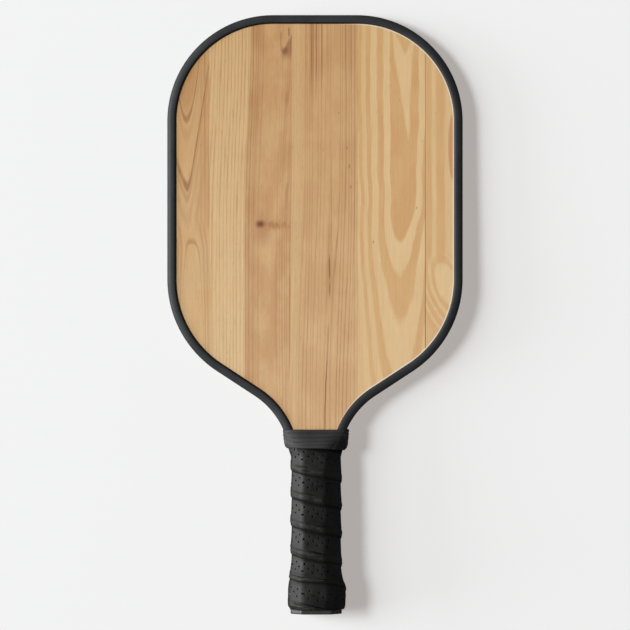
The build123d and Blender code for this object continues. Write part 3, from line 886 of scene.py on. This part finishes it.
def wrinkle(u, v):
    """Folds and lumps of the stretched lower edge, in millimetres."""
    out = []
    for a, b in zip(np.ravel(u), np.ravel(v)):
        fold = noise.noise(Vector((a * 0.13, b * 0.75, 1.0))) * 0.62
        lump = noise.noise(Vector((a * 0.09, b * 0.14, 6.0))) * 0.5
        edge = math.exp(-(((b - 2.9) / 2.4) ** 2))
        # A main fold, deepest near the strip's start, and a smaller one below it.
        crease_at = 5.6 + 1.3 * noise.noise(Vector((a * 0.05, 0.0, 9.0)))
        depth = 0.55 * (0.7 + 1.3 * noise.noise(Vector((a * 0.09, 2.0, 3.0))))
        depth += 0.7 * math.exp(-(((a - 103.0) / 12.0) ** 2))
        crease = -depth * math.exp(-(((b - crease_at) / 0.55) ** 2))
        low_at = 2.6 + 1.0 * noise.noise(Vector((a * 0.06, 4.0, 1.0)))
        low_depth = 0.5 * max(0.0, noise.noise(Vector((a * 0.055, 7.0, 5.0))) + 0.35)
        crease -= low_depth * math.exp(-(((b - low_at) / 0.4) ** 2))
        soft = noise.noise(Vector((a * 0.11, b * 0.2, 12.0))) * 0.12
        out.append((fold + lump) * edge + crease + soft)
    return np.array(out).reshape(np.shape(u))


def cushion_strip():
    """The perforated strip: outer and inner faces, through holes with walls, and closed edges."""
    cell = HOLE_PITCH / 2
    split = CELL_SPLIT
    low = np.linspace(0, ROW_MIDDLE - 1.5 * ROW_STEP, 15)
    rows = np.linspace(ROW_MIDDLE - 1.5 * ROW_STEP, ROW_MIDDLE + 1.5 * ROW_STEP, 3 * split + 1)
    high = np.linspace(ROW_MIDDLE + 1.5 * ROW_STEP, STRIP_WIDTH, 11)
    across = np.concatenate([low, rows[1:], high[1:]])
    along = np.arange(STRIP_CELLS * split + 1) * cell / split + STRIP_START
    first = len(low) - 1
    u, v = np.meshgrid(along, across, indexing="ij")
    tall, wide = u.shape
    us, vs = list(u.ravel()), list(v.ravel())
    faces, walls = [], []

    def at(i, j):
        return i * wide + j

    for i in range(0, STRIP_CELLS * split, split):
        for j in range(wide - 1):
            in_rows = first <= j < first + 3 * split
            if in_rows and ((i // split) + (j - first) // split) % 2 == 0:
                if (j - first) % split:
                    continue
                border = [at(i + k, j) for k in range(split)]
                border += [at(i + split, j + k) for k in range(split)]
                border += [at(i + split - k, j + split) for k in range(split)]
                border += [at(i, j + split - k) for k in range(split)]
                centre_u = (us[border[0]] + us[border[2 * split]]) / 2
                centre_v = (vs[border[0]] + vs[border[2 * split]]) / 2
                rings = []
                for radius in (HOLE_RADIUS + 0.28, HOLE_RADIUS + 0.08, HOLE_RADIUS):
                    start = len(us)
                    for b in border:
                        angle = math.atan2(vs[b] - centre_v, us[b] - centre_u)
                        us.append(centre_u + radius * math.cos(angle))
                        vs.append(centre_v + radius * math.sin(angle))
                    rings.append([start + k for k in range(len(border))])
                previous = border
                for loop in rings:
                    for k in range(len(border)):
                        n = (k + 1) % len(border)
                        faces.append((previous[k], previous[n], loop[n], loop[k]))
                    previous = loop
                walls.append(rings)
            else:
                for k in range(i, i + split):
                    faces.append((at(k, j), at(k + 1, j), at(k + 1, j + 1), at(k, j + 1)))
    us, vs = np.array(us), np.array(vs)
    outside = strip_outside(covered(us, vs)) + wrinkle(us, vs)
    for rings in walls:
        outside[rings[1]] -= 0.05
        outside[rings[2]] -= 0.16
    inside = np.minimum(strip_inside(vs), outside - 0.25)
    used = sorted({k for f in faces for k in f})
    number = {k: n for n, k in enumerate(used)}
    half = len(used)
    outer = np.column_stack(strip_place(us[used], vs[used], outside[used]))
    inner = np.column_stack(strip_place(us[used], vs[used], inside[used]))
    quads = [tuple(number[k] for k in f) for f in faces]
    quads += [tuple(number[k] + half for k in reversed(f)) for f in faces]
    for rings in walls:
        loop = rings[-1]
        for k in range(len(loop)):
            a, b = number[loop[k]], number[loop[(k + 1) % len(loop)]]
            quads.append((a, b, b + half, a + half))
    edge = [at(i, 0) for i in range(tall)] + [at(tall - 1, j) for j in range(1, wide)]
    edge += [at(i, wide - 1) for i in reversed(range(tall - 1))]
    edge += [at(0, j) for j in reversed(range(1, wide - 1))]
    for a, b in zip(edge, edge[1:] + edge[:1]):
        quads.append((number[b], number[a], number[a] + half, number[b] + half))
    obj = grid_object("cushion_grip_strip", np.vstack([outer, inner]), quads)
    # Painted shade: 'crease' darkens the strip's lower edge, the turn just beneath each seam and the
    # hollows of the folds, wider on the front, and all of the inner face. Painted highlight: 'roll'
    # lightens the raised roll along the lower edge, mostly on the front.
    front = smoothstep(-10.5, -7.0, outer[:, 0]) * (1 - smoothstep(5.0, 9.0, outer[:, 0]))
    front = front * (outer[:, 2] > 0)
    across_strip = vs[used]
    crease = np.exp(-((across_strip / (0.8 + 0.6 * front)) ** 2))
    under = covered(us[used], across_strip)
    crease += 0.95 * smoothstep(17.6 - 1.6 * front, 18.8 - 0.6 * front, under)
    folds = np.clip(-wrinkle(us[used], across_strip) - 0.1, 0, 0.5) * 2.2 * (0.4 + 0.6 * front)
    crease = np.clip(crease + folds, 0, 1)
    roll = np.exp(-(((across_strip - 3.3) / 1.7) ** 2)) * (0.35 + 0.65 * front) * (1 - crease)
    paint(obj, "crease", np.concatenate([crease, np.ones(half)]))
    paint(obj, "roll", np.concatenate([roll, np.zeros(half)]))
    trim(obj, RIM_LENGTH + 0.08, -1)
    trim(obj, STRIP_TOP, 1)
    return obj


def trim(obj, y, side):
    """Cuts off what lies beyond this height and closes the cut."""
    bm = bmesh.new()
    bm.from_mesh(obj.data)
    geometry = bm.verts[:] + bm.edges[:] + bm.faces[:]
    cut = bmesh.ops.bisect_plane(
        bm, geom=geometry, dist=1e-7, plane_co=(0, y * MM, 0), plane_no=(0, side, 0), clear_outer=True
    )
    edges = [e for e in cut["geom_cut"] if isinstance(e, bmesh.types.BMEdge)]
    bmesh.ops.edgeloop_fill(bm, edges=[e for e in edges if e.is_boundary])
    bmesh.ops.recalc_face_normals(bm, faces=bm.faces)
    bm.to_mesh(obj.data)
    bm.free()
    obj.data.polygons.foreach_set("use_smooth", [True] * len(obj.data.polygons))


# ---- Collar ----

# (height, half width, half thickness, bevel) of the collar's outer face and of what it grips.
COLLAR_OUT = [
    (111.0, 20.8, 14.3, 6.9), (112.7, 21.2, 13.8, 6.6),
    (118.0, 22.0, 11.6, 5.0), (123.0, 22.2, 9.1, 2.7),
]
COLLAR_IN = [
    (111.0, 19.3, 13.1, 6.4), (112.7, 19.95, 12.65, 6.0),
    (118.0, 20.65, 10.35, 4.5), (123.0, 21.45, 7.9, 1.9),
]
COLLAR_LOW = 110.5
COLLAR_HIGH = 123.0
COLLAR_CORNER = 24.0
RIPPLE_DEPTH = 0.42


def between(stations, y):
    heights = [s[0] for s in stations]
    return tuple(float(np.interp(y, heights, [s[k] for s in stations])) for k in (1, 2, 3))


def collar():
    """A rubber band stretched over the grip's end, with ripples that fan out to the left."""
    columns = 240
    where = np.arange(columns) / columns
    around = math.tau * where
    rightward = np.clip(np.sin(around), 0, 1) ** 2
    low, high = COLLAR_LOW, COLLAR_HIGH
    rows, grooves = [], []
    outer_heights = np.unique(np.concatenate([
        low + 0.6 * (1 - np.cos(np.linspace(0, math.pi / 2, 5)[1:])),
        np.linspace(low + 0.9, high - 0.6, 34),
        high - 0.45 * (1 - np.sin(np.linspace(0.3, math.pi / 2, 5))),
    ]))

    def rounded(half_x, half_z, power):
        """A softened oval: points and normals."""
        c, s = np.cos(around), np.sin(around)
        px = half_x * np.sign(s) * np.abs(s) ** (2 / power)
        pz = half_z * np.sign(c) * np.abs(c) ** (2 / power)
        nx = np.sign(px) * np.abs(px / half_x) ** (power - 1) / half_x
        nz = np.sign(pz) * np.abs(pz / half_z) ** (power - 1) / half_z
        size = np.hypot(nx, nz)
        return px, pz, nx / size, nz / size

    def section(y, outline, lift):
        """Adds one row of points, which hangs lower towards the right."""
        px, pz, nx, nz = outline
        sag = 1.5 * rightward * (high - y) / (high - low)
        rows.append(np.column_stack([px + nx * lift + COLLAR_SHIFT, y - sag, pz + nz * lift]))

    for y in outer_heights:
        t = (y - low) / (high - low)
        fan = t * (1 + 0.05 * np.cos(around - 0.75 * math.tau))
        spots = [(math.cos(a) * 1.3, math.sin(a) * 1.3, y * 0.25) for a in around]
        wobble = np.array([noise.noise(Vector(spot)) for spot in spots])
        phase = np.sin(math.pi * (fan * 4.6 + 0.2 + 0.5 * wobble))
        ripple = -RIPPLE_DEPTH * (1 - np.abs(phase)) ** 2 * (0.8 + 0.9 * wobble) + 0.16 * wobble
        round_low = math.sqrt(max(0.0, 1 - max(0.0, 1 - (y - low) / 2.6) ** 2)) - 1
        round_high = math.sqrt(max(0.0, 1 - max(0.0, 1 - (high - y) / 0.6) ** 2)) - 1
        lift = ripple * (1 + round_low) * (1 + round_high)
        lift = lift + round_low * (1.5 + 1.5 * rightward) + round_high * 0.55
        half_x, half_z, _ = between(COLLAR_OUT, y)
        half_z = np.where(np.cos(around) > 0, half_z + 2.3 - t, half_z + 0.3)
        section(y, rounded(half_x, half_z, 2.3 + 1.2 * t * t), lift)
        out_x, _, out_z = rows[-1].T
        rows[-1][:, 2] = worn_down(out_x - COLLAR_SHIFT, out_z, COLLAR_CORNER + 5.5 * t, 1.6)
        # Painted shade: each groove's depth is stored as 'crease', which the collar's material
        # darkens.
        grooves.append(np.clip(-ripple / RIPPLE_DEPTH, 0, 1))
    for y in np.linspace(high, low, 10):
        section(y, on_ring(ring(between(COLLAR_IN, y), 1.8, 800), where), 0.02)
        grooves.append(np.ones(columns))
    faces = tube_faces(len(rows), columns, close_rows=True)
    obj = grid_object("grip_collar_band", np.vstack(rows), faces)
    paint(obj, "crease", np.concatenate(grooves))
    return obj


# ---- Pieces ----

guard = edge_guard()
cap = butt_cap()
grip = cushion_strip()
band = collar()
for piece, node, slot in (
    (guard, "edge_guard", "guard_polymer"),
    (cap, "butt_cap", "cap_polymer"),
    (grip, "cushion_grip", "grip_cushion"),
    (band, "grip_collar", "collar_rubber"),
):
    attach(piece, "root")
    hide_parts(node)

wood = printed_wood()
dress(NODES["front_face_sheet"], wood)
dress(NODES["rear_face_sheet"], wood)
dress(guard, moulded("guard_plastic", (44, 46, 48), (54, 55, 57), 0.56, depth=0.03, lip=True))
cap_plastic = moulded(
    "cap_plastic", (46, 46, 48), (60, 59, 60), 0.5, depth=0.03, Specular_IOR_Level=1.0
)
dress(cap, cap_plastic)
dress(grip, wound_grip())
# The collar's grooves get painted shade through creased.
dress(band, moulded("collar_rubber", (50, 50, 51), (62, 62, 62), 0.6, depth=0.04, creased=0.5))
dress(NODES["honeycomb_core"], moulded("core_polymer", (222, 222, 216), (236, 235, 228), 0.45))
glue = moulded("glue", (214, 205, 178), (228, 220, 196), 0.35)
for name in (
    "front_adhesive_film", "rear_adhesive_film", "edge_guard_adhesive",
    "pallet_bond_front", "pallet_bond_rear",
):
    dress(NODES[name], glue)
foam = moulded("pallet_foam", (40, 40, 42), (56, 56, 58), 0.8, grain=1.1, depth=0.2)
for name in ("handle_pallet_front", "handle_pallet_rear"):
    dress(NODES[name], foam)
dress(NODES["grip_adhesive_tape"], moulded("double_sided_tape", (26, 26, 27), (38, 38, 39), 0.6))
dress(NODES["grip_finishing_tape"], moulded("finishing_tape", (30, 30, 31), (44, 44, 45), 0.4))
wire = metal_wire()
for name in ("butt_cap_staples", "grip_start_staple"):
    dress(NODES[name], wire)

# ---- Floor, light and camera ----

FLOOR_SIZE = 14.0
# The guard's lowest line at the tip, as (y, z): the floor leans from there against the handle.
TIP_LOW = (397.1, -7.72)
below_tip = [v.co / MM for piece in (cap, grip, band) for v in piece.data.vertices]
slope = max(math.atan2(TIP_LOW[1] - p.z, TIP_LOW[0] - p.y) for p in below_tip)
floor_mesh = bpy.data.meshes.new("floor")
corners = []
for a, b in ((-1, -1), (1, -1), (1, 1), (-1, 1)):
    along = b * FLOOR_SIZE / 2
    corners.append((a * FLOOR_SIZE / 2, along * math.cos(slope), along * math.sin(slope)))
floor_mesh.from_pydata(corners, [], [(0, 1, 2, 3)])
floor = bpy.data.objects.new("floor", floor_mesh)
SCENE.collection.objects.link(floor)
floor.location = (0, TIP_LOW[0] * MM, TIP_LOW[1] * MM)
floor.visible_glossy = False

# The floor glows a little, which keeps the shadow light. Its colour makes the sum neutral.
g = Graph("floor_paint")
tone = g.noise(g.place, 0.004, detail=2.0)
g.shader.inputs["Emission Color"].default_value = (0.41, 0.383, 0.362, 1)
dress(floor, g.finish(
    g.mix(tone, (0.456, 0.483, 0.504, 1), (0.466, 0.493, 0.514, 1)), 0.9,
    Specular_IOR_Level=0.0, Emission_Strength=1.0,
))

world = bpy.data.worlds.new("studio")
SCENE.world = world
world.use_nodes = True
tree = world.node_tree
tree.nodes.clear()
world_out = tree.nodes.new("ShaderNodeOutputWorld")
seen = tree.nodes.new("ShaderNodeBackground")
seen.inputs[0].default_value = (0.86, 0.86, 0.86, 1)
lighting = tree.nodes.new("ShaderNodeBackground")
lighting.inputs[0].default_value = (1, 1, 1, 1)
lighting.inputs[1].default_value = 0.05
path = tree.nodes.new("ShaderNodeLightPath")
choose = tree.nodes.new("ShaderNodeMixShader")
tree.links.new(path.outputs["Is Camera Ray"], choose.inputs[0])
tree.links.new(lighting.outputs[0], choose.inputs[1])
tree.links.new(seen.outputs[0], choose.inputs[2])
tree.links.new(choose.outputs[0], world_out.inputs[0])


def area_light(name, elevation, azimuth, distance, size, power, tall=None, shine=True):
    """A soft light from the left, aimed at the paddle's middle. Azimuth turns it to the tip."""
    light = bpy.data.lights.new(name, "AREA")
    light.shape = "DISK" if tall is None else "RECTANGLE"
    light.size = size
    if tall is not None:
        light.size_y = tall
    light.energy = power
    obj = bpy.data.objects.new(name, light)
    SCENE.collection.objects.link(obj)
    up, round_z = math.radians(elevation), math.radians(azimuth)
    aim = Vector((-math.cos(up) * math.cos(round_z), math.cos(up) * math.sin(round_z), math.sin(up)))
    obj.location = Vector((0, 0.2, 0)) + aim * distance
    obj.rotation_euler = aim.to_track_quat("Z", "Y").to_euler()
    obj.visible_camera = False
    obj.visible_glossy = shine
    return obj


# Name, elevation, azimuth, distance, size and power.
area_light("key", 53.0, 7.0, 14.0, 3.5, 1140.0, shine=False)
area_light("soft_key", 42.0, 7.0, 14.0, 7.9, 1130.0, shine=False)
area_light("low_panel", 14.0, 2.0, 14.0, 9.3, 1359.0, tall=4.4)

# The camera looks straight down on the front face from 2.5 m.
SENSOR_WIDTH = 36.0
LENS = 213.3
CAMERA_PLACE = (0.0, 0.1995, 2.5)

camera_data = bpy.data.cameras.new("camera")
camera_data.sensor_width = SENSOR_WIDTH
camera_data.lens = LENS
camera_data.clip_end = 60.0
camera = bpy.data.objects.new("camera", camera_data)
SCENE.collection.objects.link(camera)
camera.location = CAMERA_PLACE
camera.rotation_euler = (0, 0, 0)
SCENE.camera = camera
SCENE.view_settings.view_transform = "Standard"
